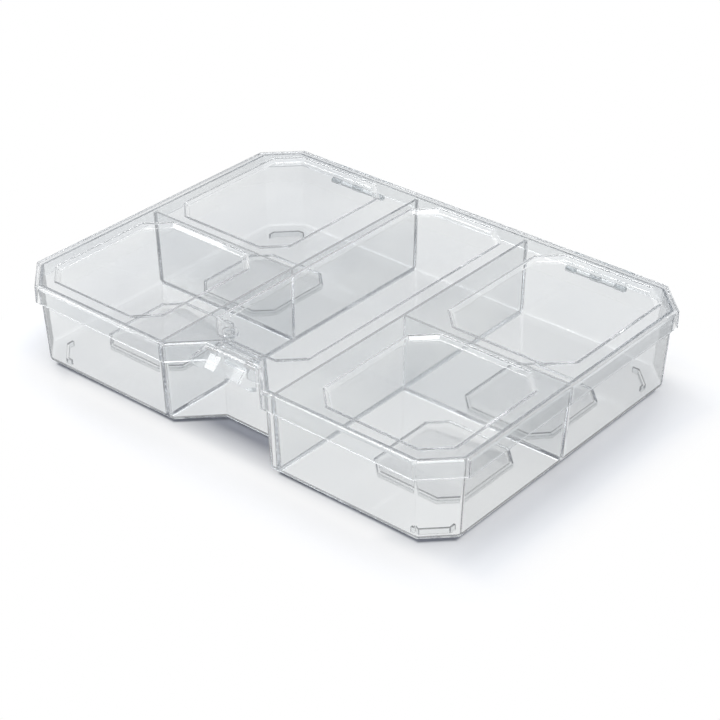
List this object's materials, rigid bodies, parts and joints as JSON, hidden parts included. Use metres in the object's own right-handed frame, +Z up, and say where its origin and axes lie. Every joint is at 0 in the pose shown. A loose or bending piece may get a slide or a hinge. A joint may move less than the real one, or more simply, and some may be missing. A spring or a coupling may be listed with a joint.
{
  "type": "compartment storage box",
  "caption": "Shallow clear plastic organizer box: a divided tray under a hinged lid with recessed panels and a front clasp.",
  "frame": {"origin": "on the ground under the middle of the closed lid", "axes": "+Z up, the clasp and finger notch face -Y, the hinges are at +Y, +X to the right seen from the front"},
  "size_m": [0.3, 0.2208, 0.0532],
  "materials": {
    "clear_plastic": "clear moulded plastic, polished"
  },
  "bodies": {
    "tray_body": {"tray": "clear_plastic", "hinge_pin_left": "clear_plastic", "hinge_pin_right": "clear_plastic"},
    "lid_body": {"lid": "clear_plastic", "clasp_pin": "clear_plastic"},
    "clasp_body": {"clasp": "clear_plastic"}
  },
  "joints": [
    {"name": "lid_hinge", "type": "hinge", "parent": "tray_body", "child": "lid_body", "pos_m": [0, 0.1088, 0.0412], "axis": [-1, 0, 0], "range_deg": [0, 180]},
    {"name": "clasp_hinge", "type": "hinge", "parent": "lid_body", "child": "clasp_body", "pos_m": [0, -0.0903, 0.051], "axis": [-1, 0, 0], "range_deg": [0, 100]}
  ]
}
